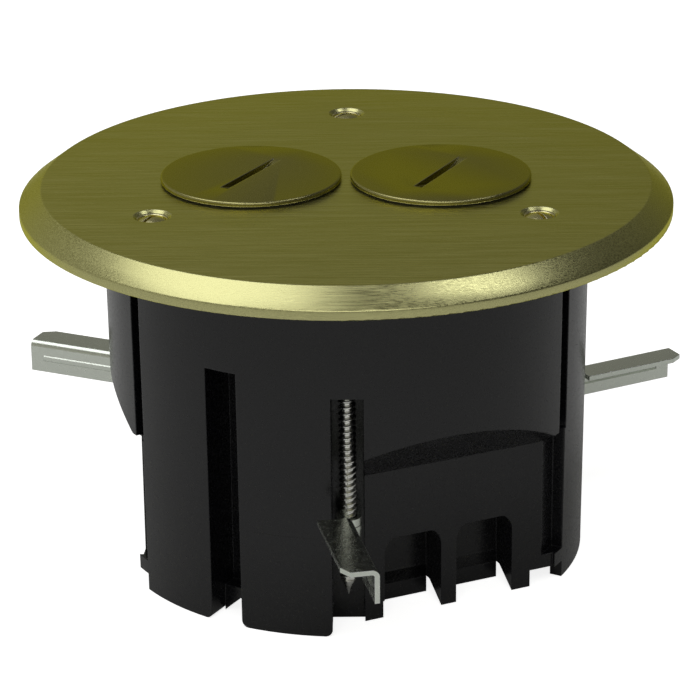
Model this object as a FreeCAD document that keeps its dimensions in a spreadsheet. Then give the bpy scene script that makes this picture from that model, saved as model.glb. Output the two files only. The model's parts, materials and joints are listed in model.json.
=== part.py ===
"""Floor socket box: a round brass duplex cover on a moulded drop-in box held by three swing clamps.

Origin: centre of the cover plate's underside, which is the finished floor.
+Z points up out of the floor, and +X runs along the pair of screw plugs.
Lengths are in millimetres and angles in degrees.
"""
import FreeCAD, Part
import Sketcher
import os
import re

DOC = FreeCAD.newDocument("floor_socket_box")
SHEET = DOC.addObject("Spreadsheet::Sheet", "Sizes")
THIRD = 120  # the box repeats three times round its axis
QUARTER = 90

SIZES = {
    # brass cover plate
    "plate_radius": 67.05,
    "plate_height": 5.4,
    "plate_band": 1.95,
    "plate_bevel": 4.575,
    "plate_skin": 2.6,
    "plate_edge_round": 0.35,
    "lip_width": 6.2,
    "hub_wall": 2.4,
    "hub_reach": 4.0,
    # screw plugs over the two outlets
    "outlet_spacing": 38.9,
    "bore_radius": 17.3,
    "plug_clearance": 0.1,
    "disc_radius": 18.57,
    "disc_height": 0.9,
    "disc_round": 0.45,
    "plug_core": 2.4,
    "skirt_reach": 7.0,
    "skirt_wall": 2.6,
    "seal_height": 0.4,
    "seal_inset": 0.3,
    "slot_length": 21.4,
    "slot_width": 1.9,
    "slot_depth": 1.9,
    "left_slot_angle": 60.5,
    "right_slot_angle": 62.5,
    # three oval-head screws that hold the cover
    "cover_screw_circle": 44.45,
    "cover_screw_azimuth": 90,
    "cover_screw_radius": 1.75,
    "cover_screw_length": 15.9,
    "cover_head_radius": 3.55,
    "cover_head_depth": 1.9,
    "cover_head_crown": 0.75,
    "cover_slot_width": 0.9,
    "cover_slot_depth": 1.0,
    "countersink_radius": 3.85,
    "cover_hole_clearance": 0.35,
    # gasket and the box's flange, nested under the plate
    "gasket_height": 0.8,
    "flange_height": 2.0,
    "flange_radius": 58.5,
    # moulded box
    "box_radius": 49.9,
    "box_draft": 0.5,
    "box_collar": 14.0,
    "box_depth": 74.6,
    "box_wall": 2.6,
    "floor_level": 71.0,
    "base_level": 53.0,
    "floor_wall": 2.5,
    "corner_round": 1.5,
    # clamp channels
    "clamp_azimuth": 270,
    "channel_width": 6.5,
    "channel_top": 23.0,
    "channel_back": 40.5,
    "channel_wall": 2.4,
    # upright side slots
    "slot_azimuth": 240,
    "side_slot_width": 7.1,
    "side_slot_top": 19.5,
    "side_slot_bottom": 68.9,
    "side_slot_back": 41.0,
    "side_web_front": 44.3,
    "side_web_rise": 3.4,
    # flats that the clamps fold against, with their sloping undercut
    "flat_azimuth": 294.5,
    "flat_distance": 40.0,
    "flat_top": 42.5,
    "flat_left": 19.0,
    "flat_right": 28.0,
    # scooped cable entries
    "scoop_radius": 6.6,
    "scoop_centre": 37.4,
    "scoop_level": 63.4,
    "scoop_round": 4.0,
    "scoop_wall": 2.3,
    "entry_width": 12.7,
    "entry_one_start": -10.3,
    "entry_two_start": 5.8,
    # feet under the flats
    "foot_zero_start": -14.0,
    "foot_zero_width": 3.4,
    "foot_one_start": 2.4,
    "foot_one_width": 3.4,
    "foot_two_start": 18.5,
    "foot_two_width": 4.2,
    "foot_run": 5.6,
    # grooves beside the cover-screw bosses
    "groove_azimuth": 331.8,
    "groove_width": 3.3,
    "groove_back": 47.0,
    "groove_step": 41.0,
    "groove_low_azimuth": 330,
    "groove_low_width": 5.2,
    "groove_bottom": 68.0,
    "cover_boss_radius": 4.3,
    "cover_boss_depth": 13.0,
    # clamp screws and swing arms
    "clamp_screw_circle": 45.5,
    "clamp_screw_radius": 1.75,
    "clamp_screw_tip": 67.0,
    "clamp_point": 4.2,
    "clamp_head_radius": 3.5,
    "clamp_head_gap": 0.25,
    "clamp_hole_gap": 0.35,
    "clamp_socket": 1.0,
    "collar_gap": 0.06,
    "collar_wall": 0.85,
    "collar_top": 4.3,
    "collar_bottom": 9.0,
    "arm_sheet": 1.0,
    "arm_reach": 34.5,
    "arm_start": 10.3,
    "arm_web_start": 2.9,
    "arm_width": 7.1,
    "arm_offset": 1.2,
    "arm_drop": 7.0,
    "arm_bend": 1.5,
    "arm_corner_run": 2.6,
    "arm_corner_depth": 1.5,
    "lug_radius": 2.8,
    "lug_side": 0.6,
    "lug_run": 4.6,
    "front_arm_angle": 282.1,
    "left_arm_angle": 156.6,
    "right_arm_angle": 27.5,
    "front_arm_top": 45.3,
    "left_arm_top": 44.6,
    "right_arm_top": 47.2,
    # duplex receptacle under the cover
    "face_gap": 0.4,
    "face_drop": 3.2,
    "face_radius": 17.05,
    "face_flat": 14.3,
    "face_height": 3.4,
    "receptacle_length": 66.5,
    "receptacle_width": 33.5,
    "cap_height": 7.0,
    "base_height": 19.5,
    "yoke_length": 90.4,
    "yoke_width": 17.5,
    "yoke_sheet": 1.4,
    "yoke_screw_spacing": 83.3,
    "yoke_screw_radius": 1.7,
    "yoke_screw_length": 14.0,
    "yoke_head_radius": 3.4,
    "yoke_head_height": 1.8,
    "post_radius": 3.7,
    "post_depth": 17.0,
    "post_web": 3.0,
    "blade_gap": 12.7,
    "blade_width": 2.0,
    "neutral_length": 7.9,
    "line_length": 6.4,
    "ground_radius": 2.5,
    "ground_offset": 11.9,
    "blade_offset": 3.2,
    "contact_sheet": 0.9,
    "contact_length": 50.0,
    "contact_drop": 12.0,
    "terminal_radius": 2.0,
    "terminal_length": 6.0,
    "terminal_head_radius": 4.0,
    "terminal_head_height": 1.9,
    "terminal_level": 9.0,
    "centre_screw_radius": 1.7,
    "fit_gap": 0.05,
}

for row, (name, value) in enumerate(SIZES.items(), 1):
    SHEET.set(f"A{row}", name.replace("_", " "))
    SHEET.set(f"B{row}", str(value))
    SHEET.setAlias(f"B{row}", name)
DOC.recompute()


def sized(text):
    """Spell a formula of size names as a spreadsheet expression."""
    return re.sub(r"[a-z][a-z_]*", lambda m: f"Sizes.{m[0]}" if m[0] in SIZES else m[0], str(text))


def measure(text):
    """The number that a formula of size names comes to now."""
    return float(SHEET.evalExpression(sized(text)))


def bind(thing, **formulas):
    """Bind properties of an object to formulas."""
    for name, formula in formulas.items():
        thing.setExpression(name, sized(formula))
    return thing


def place(thing, x=0, y=0, z=0, turn=0):
    """Bind an object's place, and its turn about its upright axis."""
    for axis, formula in (("x", x), ("y", y), ("z", z)):
        thing.setExpression(f"Placement.Base.{axis}", sized(formula))
    if turn:
        thing.setExpression("Placement.Rotation.Angle", sized(turn))
    return thing


def lay(thing, axis, angle):
    """Lay a primitive over about one of its own axes."""
    thing.Placement = FreeCAD.Placement(FreeCAD.Vector(), FreeCAD.Rotation(FreeCAD.Vector(*axis), angle))
    return thing


def box(name, x, y, z, run, width, height):
    """A box from its low corner."""
    made = DOC.addObject("Part::Box", name)
    bind(made, Length=run, Width=width, Height=height)
    return place(made, x, y, z)


def rod(name, radius, bottom, height, x=0, y=0):
    """An upright cylinder."""
    made = DOC.addObject("Part::Cylinder", name)
    bind(made, Radius=radius, Height=height)
    return place(made, x, y, bottom)


def rod_out(name, radius, x, y, z, length):
    """A cylinder lying along +X."""
    made = lay(DOC.addObject("Part::Cylinder", name), (0, 1, 0), QUARTER)
    bind(made, Radius=radius, Height=length)
    return place(made, x, y, z)


def rod_across(name, radius, x, y, z, length):
    """A cylinder lying along +Y."""
    made = lay(DOC.addObject("Part::Cylinder", name), (1, 0, 0), -QUARTER)
    bind(made, Radius=radius, Height=length)
    return place(made, x, y, z)


def cone(name, low, high, bottom, height, x=0, y=0):
    """An upright cone from its lower to its upper radius."""
    made = DOC.addObject("Part::Cone", name)
    bind(made, Radius1=low, Radius2=high, Height=height)
    return place(made, x, y, bottom)


def join(name, *pieces):
    """Fuse pieces into one."""
    made = DOC.addObject("Part::MultiFuse", name)
    made.Shapes = list(pieces)
    made.Refine = True
    return made


def cut(name, base, *tools):
    """Cut tools out of a base."""
    made = DOC.addObject("Part::Cut", name)
    made.Base = base
    made.Tool = tools[0] if len(tools) == 1 else join(name + "_tools", *tools)
    made.Refine = True
    return made


def meet(name, one, other):
    """Keep only what two pieces share."""
    made = DOC.addObject("Part::MultiCommon", name)
    made.Shapes = [one, other]
    return made


def turned(name, piece, angle):
    """A copy of a piece, turned about the box's axis."""
    made = lay(DOC.addObject("App::Link", name), (0, 0, 1), 1)
    made.LinkedObject = piece
    made.LinkTransform = True
    made.setExpression("Placement.Rotation.Angle", sized(angle))
    return made


def thrice(name, piece, azimuth):
    """Three copies of a piece that lies along +X, turned to an azimuth and on by thirds."""
    return [turned(f"{name}_{n}", piece, f"{azimuth} + {n * THIRD}") for n in range(3)]


def body(name):
    return DOC.addObject("PartDesign::Body", name)


def sketch(owner, role, name):
    """A sketch on one of a body's own origin planes."""
    made = owner.newObject("Sketcher::SketchObject", name)
    plane = [f for f in owner.Origin.OriginFeatures if f.Role == role][0]
    made.AttachmentSupport = (plane, [""])
    made.MapMode = "FlatFace"
    return made


def hold(made, kind, geometry, point, formula):
    """Hold a point of a sketch at a bound distance from its axes."""
    made.addConstraint(Sketcher.Constraint(kind, -1, 1, geometry, point, measure(formula)))
    made.setExpression(f"Constraints[{made.ConstraintCount - 1}]", sized(formula))


def outline(made, corners):
    """Draw a closed outline of straight lines whose corners are bound to formulas."""
    points = [FreeCAD.Vector(measure(x), measure(y), 0) for x, y in corners]
    for start, end in zip(points, points[1:] + points[:1]):
        made.addGeometry(Part.LineSegment(start, end), False)
    for n in range(len(points)):
        made.addConstraint(Sketcher.Constraint("Coincident", n, 2, (n + 1) % len(points), 1))
    for n, (x, y) in enumerate(corners):
        hold(made, "DistanceX", n, 1, x)
        hold(made, "DistanceY", n, 1, y)


def ring(made, radius, x=0, y=0):
    """Draw a circle with a bound radius and centre."""
    centre = FreeCAD.Vector(measure(x), measure(y), 0)
    geometry = made.addGeometry(Part.Circle(centre, FreeCAD.Vector(0, 0, 1), measure(radius)), False)
    made.addConstraint(Sketcher.Constraint("Radius", geometry, measure(radius)))
    made.setExpression(f"Constraints[{made.ConstraintCount - 1}]", sized(radius))
    hold(made, "DistanceX", geometry, 3, x)
    hold(made, "DistanceY", geometry, 3, y)


def revolve(owner, name, corners):
    """Turn a half profile of (radius, level) corners into a round piece."""
    drawn = sketch(owner, "XZ_Plane", name + "_profile")
    outline(drawn, corners)
    made = owner.newObject("PartDesign::Revolution", name)
    made.Profile = drawn
    made.ReferenceAxis = (drawn, ["V_Axis"])
    made.Angle = 360
    drawn.Visibility = False
    DOC.recompute()
    return made


def pad(owner, name, role, draw, length):
    """Pad a drawn outline up from one of a body's planes."""
    drawn = sketch(owner, role, name + "_profile")
    draw(drawn)
    made = owner.newObject("PartDesign::Pad", name)
    made.Profile = drawn
    bind(made, Length=length)
    DOC.recompute()
    return made


def rings_at(shape, radius, level):
    """Names of a shape's circular edges with a radius at a level."""
    names = []
    for number, edge in enumerate(shape.Edges, 1):
        curve = edge.Curve
        if not isinstance(curve, Part.Circle):
            continue
        if abs(curve.Radius - measure(radius)) < 0.01 and abs(curve.Center.z - measure(level)) < 0.01:
            names.append(f"Edge{number}")
    return names


def soften(owner, name, base, edges, radius):
    """Round named edges of a body's last feature."""
    made = owner.newObject("PartDesign::Fillet", name)
    made.Base = (base, edges)
    bind(made, Radius=radius)
    DOC.recompute()
    return made


PLUGS = {"left": "-outlet_spacing / 2", "right": "outlet_spacing / 2"}
CLAMPS = {"front": 0, "left": 240, "right": 120}
COVER_SCREWS = {"back": 0, "left": 120, "right": 240}
DISC_BASE = "plate_height + seal_height"
DISC_TOP = "plate_height + seal_height + disc_height"
SKIRT_RADIUS = "bore_radius - plug_clearance"
FACE_TOP = "(plate_height + seal_height - skirt_reach - face_gap)"
YOKE_TOP = f"({FACE_TOP} - face_height - face_drop)"
BASE_TOP = f"({YOKE_TOP} - yoke_sheet)"
TERMINAL_LEVEL = f"({BASE_TOP} - contact_drop + terminal_level / 2)"
EARTH_LEVEL = f"({BASE_TOP} - base_height / 2)"
SIDES = {"left": -1, "right": 1}
RAILS = {"neutral": 1, "line": -1}
TERMINALS = {"left": "-outlet_spacing / 4", "right": "outlet_spacing / 4"}
CAVITY = "(box_radius - box_draft - box_wall)"
GROOVE_SIDE = "(groove_back * sin(groove_low_azimuth - groove_azimuth) - groove_low_width / 2)"
REACH = 30  # how far a cutting tool runs on past the piece it cuts


def cover_plate():
    """A hollow bevelled disc with a threaded hub under each outlet."""
    made = body("plate_blank")
    skin = "plate_height - plate_skin"
    plate = revolve(made, "plate", [
        (0, skin), ("plate_radius - lip_width", skin), ("plate_radius - lip_width", 0),
        ("plate_radius", 0), ("plate_radius", "plate_band"),
        ("plate_radius - plate_bevel", "plate_height"), (0, "plate_height"),
    ])
    rims = rings_at(plate.Shape, "plate_radius - plate_bevel", "plate_height")
    rims += rings_at(plate.Shape, "plate_radius", "plate_band")
    rims += rings_at(plate.Shape, "plate_radius", 0)
    soften(made, "plate_rounds", plate, rims, "plate_edge_round")
    hubs = []
    for side, x in PLUGS.items():
        hubs.append(rod(f"hub_{side}", "bore_radius + hub_wall", "plate_height - hub_reach - plate_skin",
                        "hub_reach + plate_skin / 2", x))
    solid = join("plate_with_hubs", made, *hubs)
    tools = [rod(f"plug_bore_{side}", "bore_radius", -REACH, 2 * REACH, x) for side, x in PLUGS.items()]
    for name, turn in COVER_SCREWS.items():
        x, y = screw_place(turn)
        tools.append(rod(f"cover_hole_{name}", "cover_screw_radius + cover_hole_clearance", -REACH, 2 * REACH, x, y))
        tools.append(cone(f"cover_sink_{name}", "cover_screw_radius", "countersink_radius",
                          "plate_height - cover_head_depth", "cover_head_depth", x, y))
    return cut("cover_plate_bored", solid, *tools)


def screw_place(turn):
    """Where a cover screw stands."""
    angle = f"(cover_screw_azimuth + {turn})"
    return f"cover_screw_circle * cos({angle})", f"cover_screw_circle * sin({angle})"


def clamp_place(turn):
    """Where a clamp screw stands."""
    angle = f"(clamp_azimuth + {turn})"
    return f"clamp_screw_circle * cos({angle})", f"clamp_screw_circle * sin({angle})"


def plug(side):
    """A screw plug: a thin disc with a coin slot on a hollow threaded skirt."""
    made = body(f"plug_{side}_turned")
    floor = f"{DISC_BASE} - plug_core"
    inner = f"{SKIRT_RADIUS} - skirt_wall"
    turned_plug = revolve(made, f"plug_{side}", [
        (0, floor), (inner, floor), (inner, f"{DISC_BASE} - skirt_reach"),
        (SKIRT_RADIUS, f"{DISC_BASE} - skirt_reach"), (SKIRT_RADIUS, DISC_BASE),
        ("disc_radius", DISC_BASE), ("disc_radius", DISC_TOP), (0, DISC_TOP),
    ])
    rim = rings_at(turned_plug.Shape, "disc_radius", DISC_TOP)
    soften(made, f"plug_{side}_rim", turned_plug, rim, "disc_round")
    wheel_radius = "((slot_length / 2) ^ 2 + slot_depth ^ 2) / (2 * slot_depth)"
    wheel = rod_across(f"coin_slot_{side}", wheel_radius, 0, "-slot_width / 2",
                       f"{DISC_TOP} - slot_depth + {wheel_radius}", "slot_width")
    slotted = cut(f"plug_{side}_slotted", made, wheel)
    return spun(f"plug_{side}", slotted, f"{side}_slot_angle", x=PLUGS[side])


def spun(name, piece, angle, x=0, y=0, z=0):
    """Stand a piece that was made at the origin in its place, turned by an angle."""
    made = lay(DOC.addObject("Part::Compound", name + "_made"), (0, 0, 1), 1)
    made.Links = [piece]
    return place(made, x, y, z, angle)


def plug_seal(side):
    """The flat rubber ring under a plug's disc."""
    x = PLUGS[side]
    outer = rod(f"seal_outer_{side}", "disc_radius - seal_inset", "plate_height", "seal_height", x)
    inner = rod(f"seal_inner_{side}", "bore_radius + fit_gap", "plate_height", "seal_height", x)
    return cut(f"seal_{side}", outer, inner)


def cover_screw(name):
    """A slotted oval-head machine screw."""
    x, y = screw_place(COVER_SCREWS[name])
    head_base = "plate_height - cover_head_depth"
    shank = rod(f"cover_shank_{name}", "cover_screw_radius", "plate_height - cover_screw_length",
                "cover_screw_length - cover_head_depth / 2", x, y)
    head = cone(f"cover_cone_{name}", "cover_screw_radius - fit_gap", "cover_head_radius",
                head_base, "cover_head_depth - fit_gap", x, y)
    dome_radius = "(cover_head_radius ^ 2 + cover_head_crown ^ 2) / (2 * cover_head_crown)"
    ball = DOC.addObject("Part::Sphere", f"cover_ball_{name}")
    bind(ball, Radius=dome_radius)
    place(ball, x, y, f"plate_height - fit_gap + cover_head_crown - {dome_radius}")
    blank = rod(f"cover_blank_{name}", "cover_head_radius", "plate_height - fit_gap", "cover_head_crown", x, y)
    crown = meet(f"cover_crown_{name}", ball, blank)
    slot = box(f"cover_slot_{name}", f"{x} - cover_head_radius", f"{y} - cover_slot_width / 2",
               "plate_height - fit_gap + cover_head_crown - cover_slot_depth",
               "2 * cover_head_radius", "cover_slot_width", "2 * cover_slot_depth")
    return cut(f"cover_screw_{name}_made", join(f"cover_solid_{name}", shank, head, crown), slot)


def cover_gasket():
    """A flat gasket between the box's flange and the plate."""
    made = body("gasket_blank")
    pad(made, "gasket", "XY_Plane", gasket_rings, "gasket_height")
    place(made, z="flange_height")
    tools = []
    for name, turn in COVER_SCREWS.items():
        x, y = screw_place(turn)
        tools.append(rod(f"gasket_hole_{name}", "cover_screw_radius + cover_hole_clearance", -REACH, 2 * REACH, x, y))
    return cut("gasket_punched", made, *tools)


def gasket_rings(drawn):
    ring(drawn, "flange_radius")
    ring(drawn, CAVITY)


def channel_tools():
    """The open channel that a clamp arm swings and climbs in, lying along +X."""
    slot = box("channel", "channel_back", "-channel_width / 2", "-box_depth - 1",
               REACH, "channel_width", "box_depth + 1 - channel_top")
    x = "clamp_screw_circle"
    hole = rod("clamp_hole", "clamp_screw_radius + clamp_hole_gap", "-channel_top - 1", REACH + 2, x)
    sink = cone("clamp_sink", "clamp_screw_radius + clamp_hole_gap",
                "clamp_head_radius + clamp_head_gap + clamp_hole_gap", 0, "flange_height", x)
    left = corner_tool("channel_left", "channel_width / 2", 1)
    right = corner_tool("channel_right", "-channel_width / 2", -1)
    return join("channel_tools", slot, hole, sink, left, right)


def corner_tool(name, side, way):
    """A tool that rounds a lower corner of a wall, which stands on the way side of a cut."""
    low = side if way > 0 else f"{side} - corner_round"
    middle = f"{side} + corner_round" if way > 0 else f"{side} - corner_round"
    start = "channel_back + channel_wall"
    blank = box(f"{name}_blank", start, low, "-box_depth - 1", REACH, "corner_round", "corner_round + 1")
    roll = rod_out(f"{name}_roll", "corner_round", f"{start} - 1", middle, "corner_round - box_depth", REACH + 2)
    return cut(f"{name}_corner", blank, roll)


def slot_tools():
    """An upright slot in the side wall with a shallower web below it, lying along +X."""
    deep = box("side_slot", "side_slot_back", "-side_slot_width / 2", "-side_slot_bottom",
               REACH, "side_slot_width", "side_slot_bottom - side_slot_top")
    below = box("side_slot_foot", "side_web_front", "-side_slot_width / 2", "-box_depth - 1",
                REACH, "side_slot_width", "box_depth + 1 - side_slot_top")
    left = corner_tool("side_slot_left", "side_slot_width / 2", 1)
    right = corner_tool("side_slot_right", "-side_slot_width / 2", -1)
    return join("slot_tools", deep, below, web_notch(), left, right)


def web_notch():
    """What is cut away under the web of a side slot, with a slope left standing at one side."""
    edge, low = "-side_slot_width / 2", "-box_depth"
    open_below = box("web_opening", "side_slot_back - channel_wall - 1", edge, f"{low} - 1", REACH,
                     "side_slot_width", "side_web_rise + 1")
    slope = DOC.addObject("Part::Wedge", "web_slope")
    bind(slope, Xmin="side_slot_back - channel_wall - 2", Xmax=f"side_slot_back + {REACH}",
         X2min="side_slot_back - channel_wall - 2", X2max=f"side_slot_back + {REACH}",
         Ymin=edge, Ymax=f"{edge} + side_web_rise", Zmin=low, Zmax=f"{low} + side_web_rise",
         Z2min=f"{low} + side_web_rise - fit_gap", Z2max=f"{low} + side_web_rise")
    return cut("web_notch", open_below, slope)


def undercut(name, inset, lift):
    """What lies outside a flat: an upright side that slopes out at 45 degrees at its top."""
    made = lay(DOC.addObject("Part::Wedge", name), (0, 0, 1), -QUARTER)
    side = f"flat_distance - {inset}"
    bind(made, Xmin=f"-flat_right - {inset}", X2min=f"-flat_right - {inset}",
         Xmax=f"flat_left + {inset}", X2max=f"flat_left + {inset}",
         Ymin=side, Ymax=f"{side} + {REACH}",
         Zmin="-box_depth - 1", Z2min="-box_depth - 1",
         Zmax=f"-flat_top + {lift}", Z2max=f"-flat_top + {lift} + {REACH}")
    return made


def entry_arch(name, start):
    """An arched outline with rounded upper corners, run along +X."""
    top = "(scoop_radius - scoop_level)"
    low, high = f"{start} + scoop_round", f"{start} + entry_width - scoop_round"
    near = "flat_distance - 2 * scoop_radius"
    lower = box(f"{name}_lower", near, start, "-box_depth - 1", REACH, "entry_width",
                f"box_depth + 1 + {top} - scoop_round")
    upper = box(f"{name}_upper", near, low, "-box_depth - 1", REACH, "entry_width - 2 * scoop_round",
                f"box_depth + 1 + {top}")
    rolls = [rod_out(f"{name}_roll_{n}", "scoop_round", near, y, f"{top} - scoop_round", REACH)
             for n, y in enumerate((low, high))]
    return join(name, lower, upper, *rolls)


def flat_tools():
    """One flat with its two scooped cable entries, facing +X."""
    roll = rod_across("scoop_roll", "scoop_radius", "scoop_centre", "-flat_left", "-scoop_level",
                      "flat_left + flat_right")
    arches = join("arches", entry_arch("entry_one", "entry_one_start"), entry_arch("entry_two", "entry_two_start"))
    return join("flat_tools", undercut("flat_undercut", 0, 0), meet("scoops", roll, arches))


def groove_tools():
    """The stepped groove beside a cover-screw boss, and the short wall below it, lying along +X."""
    upper = box("groove_upper", "groove_back", "-groove_width / 2", "-groove_step", REACH, "groove_width",
                "groove_step")
    low = box("groove_low", "groove_back", GROOVE_SIDE, "-groove_bottom", REACH, "groove_low_width",
              "groove_bottom - groove_step")
    under = box("groove_under", f"{CAVITY} - 1", GROOVE_SIDE, "-box_depth - 1", REACH, "groove_low_width",
                "box_depth + 1 - floor_level")
    return join("groove_tools", upper, low, under)


def islands():
    """What stands solid inside the shell behind the channels, slots, flats and bosses."""
    tower = box("channel_island", "channel_back - channel_wall", "-channel_width / 2 - channel_wall",
                "-box_depth", REACH, "channel_width + 2 * channel_wall", "box_depth + flange_height")
    slot = box("slot_island", "side_slot_back - channel_wall", "-side_slot_width / 2 - channel_wall",
               "-box_depth", REACH, "side_slot_width + 2 * channel_wall",
               "box_depth - side_slot_top + channel_wall")
    flat = undercut("flat_island", "box_wall", "box_wall * (sqrt(2) - 1)")
    scoop = rod_across("scoop_island", "scoop_radius + scoop_wall", "scoop_centre",
                       "entry_one_start - scoop_wall", "-scoop_level",
                       "entry_two_start + entry_width - entry_one_start + 2 * scoop_wall")
    groove = box("groove_island", "groove_back - box_wall", f"{GROOVE_SIDE} - box_wall", "-box_depth",
                 REACH, f"groove_width / 2 - {GROOVE_SIDE} + 2 * box_wall", "box_depth + flange_height")
    boss = rod("boss_island", "cover_boss_radius", "-cover_boss_depth",
               "cover_boss_depth + flange_height", "cover_screw_circle")
    posts = []
    for side, way in SIDES.items():
        low = f"{BASE_TOP} - post_depth"
        posts.append(rod(f"post_{side}", "post_radius", low, "post_depth", f"{way} * yoke_screw_spacing / 2"))
        inner = "yoke_screw_spacing / 2" if way > 0 else f"-{CAVITY} - 1"
        posts.append(box(f"post_web_{side}", inner, "-post_web / 2", low,
                         f"{CAVITY} + 1 - yoke_screw_spacing / 2", "post_web", "post_depth"))
    pieces = thrice("tower", tower, "clamp_azimuth") + thrice("slot_back", slot, "slot_azimuth")
    pieces += thrice("flat_back", join("flat_islands", flat, scoop), "flat_azimuth")
    pieces += thrice("groove_back", groove, "groove_azimuth") + thrice("boss", boss, "cover_screw_azimuth")
    return join("islands", *pieces, *posts)


def feet():
    """The three feet under a flat, each sloping up behind."""
    made = []
    for name in ("zero", "one", "two"):
        start, width = f"foot_{name}_start", f"foot_{name}_width"
        foot = lay(DOC.addObject("Part::Wedge", f"foot_{name}"), (0, 0, 1), -QUARTER)
        bind(foot, Xmin=f"-{start} - {width}", X2min=f"-{start} - {width}", Xmax=f"-{start}", X2max=f"-{start}",
             Ymin="flat_distance - foot_run", Ymax="flat_distance",
             Zmin="-floor_level", Z2min="-box_depth", Zmax="-floor_level + 1", Z2max="-floor_level + 1")
        made.append(foot)
    return join("feet", *made)


def box_body():
    """The moulded drop-in box: a flanged shell with channels, slots, flats, scoops and feet.

    It is given as its flange, its walls and its base, which meet face to face.
    """
    collar = rod("shell_collar", "box_radius", "-box_collar", "box_collar")
    shell = cone("shell", "box_radius - box_draft", "box_radius", "-box_depth", "box_depth - box_collar")
    flange = rod("flange", "flange_radius", 0, "flange_height")
    room = rod("room", CAVITY, "floor_wall - floor_level", "floor_level - floor_wall + 2 * flange_height")
    under = rod("under", CAVITY, "-box_depth - 1", "box_depth - floor_level + 1")
    standing = islands()
    hollow = cut("room_between", room, standing)
    under_islands = join("under_islands", *thrice("tower_foot", DOC.getObject("channel_island"), "clamp_azimuth"),
                         *thrice("slot_foot", DOC.getObject("slot_island"), "slot_azimuth"))
    under_room = cut("under_between", under, under_islands)
    tools = thrice("channel_cut", channel_tools(), "clamp_azimuth") + thrice("slot_cut", slot_tools(), "slot_azimuth")
    tools += thrice("flat_cut", flat_tools(), "flat_azimuth") + thrice("groove_cut", groove_tools(), "groove_azimuth")
    hole = rod("cover_thread", "cover_screw_radius + fit_gap", "plate_height - cover_screw_length - 1",
               "cover_screw_length", "cover_screw_circle")
    tools += thrice("cover_thread_cut", hole, "cover_screw_azimuth")
    for side, way in SIDES.items():
        tools.append(rod(f"yoke_thread_{side}", "yoke_screw_radius + fit_gap",
                         f"{YOKE_TOP} - yoke_screw_length", "yoke_screw_length",
                         f"{way} * yoke_screw_spacing / 2"))
    blank = join("blank", shell, collar, flange)
    shaped = cut("box_shaped", cut("box_hollow", blank, hollow, under_room), *tools)
    whole = join("box_whole", shaped, *thrice("feet_at", feet(), "flat_azimuth"))
    above = rod("flange_slab", "flange_radius + 1", 0, "2 * flange_height")
    walls = rod("walls_slab", "flange_radius + 1", "-base_level", "base_level")
    below = rod("base_slab", "flange_radius + 1", "-box_depth - 1", "box_depth + 1 - base_level")
    return {"box_flange": meet("box_flange_made", whole, above), "box_body": meet("box_walls_made", whole, walls),
            "box_base": meet("box_base_made", whole, below)}


def clamp_screw(name):
    """A long flat-head screw with a gimlet point."""
    x, y = clamp_place(CLAMPS[name])
    shank = rod(f"clamp_shank_{name}", "clamp_screw_radius", "clamp_point - clamp_screw_tip",
                "clamp_screw_tip - clamp_point + flange_height / 2", x, y)
    point = cone(f"clamp_point_{name}", 0, "clamp_screw_radius", "-clamp_screw_tip", "clamp_point", x, y)
    head = cone(f"clamp_head_{name}", "clamp_screw_radius - fit_gap", "clamp_head_radius", "clamp_head_gap",
                "flange_height - clamp_head_gap - fit_gap", x, y)
    socket = box(f"clamp_driver_{name}", f"{x} - clamp_head_radius", f"{y} - clamp_socket / 2",
                 "flange_height - clamp_socket", "2 * clamp_head_radius", "clamp_socket", "2 * clamp_socket")
    return cut(f"clamp_screw_{name}_made", join(f"clamp_solid_{name}", shank, point, head), socket)


def clamp_arm(name):
    """A folded steel arm: a top flange, a deep web and a lug with a drawn tapped collar.

    It is made along +X with the screw on the Z axis and the flange's top at zero.
    """
    inner = "(arm_bend - arm_sheet)"
    right = "(-arm_offset - arm_width)"
    top = box(f"arm_top_{name}", "arm_start", right, "-arm_sheet", "arm_reach - arm_start",
              "arm_width - arm_bend", "arm_sheet")
    web = box(f"arm_web_{name}", "arm_start", "-arm_offset - arm_sheet", "-arm_drop", "arm_reach - arm_start",
              "arm_sheet", "arm_drop - arm_bend")
    tail = box(f"arm_tail_{name}", "arm_web_start", "-arm_offset - arm_sheet", "-arm_drop",
               "arm_start - arm_web_start", "arm_sheet", "arm_drop - arm_bend")
    bend = cut(f"arm_bend_{name}",
               rod_out(f"bend_outer_{name}", "arm_bend", "arm_start", "-arm_offset - arm_bend", "-arm_bend",
                       "arm_reach - arm_start"),
               rod_out(f"bend_inner_{name}", inner, "arm_start - 1", "-arm_offset - arm_bend", "-arm_bend",
                       "arm_reach - arm_start + 2"),
               box(f"bend_side_{name}", "arm_start - 1", "-arm_offset - 3 * arm_bend", "-2 * arm_bend - 1",
                   "arm_reach - arm_start + 2", "2 * arm_bend", "4 * arm_bend"),
               box(f"bend_under_{name}", "arm_start - 1", "-arm_offset - 3 * arm_bend", "-3 * arm_bend",
                   "arm_reach - arm_start + 2", "4 * arm_bend", "2 * arm_bend"))
    lug = join(f"arm_lug_{name}",
               rod(f"lug_round_{name}", "lug_radius", "-arm_drop", "arm_sheet"),
               box(f"lug_run_{name}", 0, "-arm_offset - arm_sheet", "-arm_drop", "arm_web_start + lug_run",
                   "arm_offset + arm_sheet + lug_side", "arm_sheet"))
    collar = rod(f"arm_collar_{name}", "clamp_screw_radius + collar_gap + collar_wall", "-collar_bottom",
                 "collar_bottom - collar_top")
    tapped = rod(f"arm_tapped_{name}", "clamp_screw_radius + collar_gap", -REACH, 2 * REACH)
    solid = join(f"arm_solid_{name}", top, web, tail, bend, lug, collar)
    made = cut(f"arm_cut_{name}", solid, tapped, arm_corner(name))
    x, y = clamp_place(CLAMPS[name])
    return spun(f"clamp_arm_{name}", made, f"{name}_arm_angle", x, y, f"-{name}_arm_top")


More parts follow.
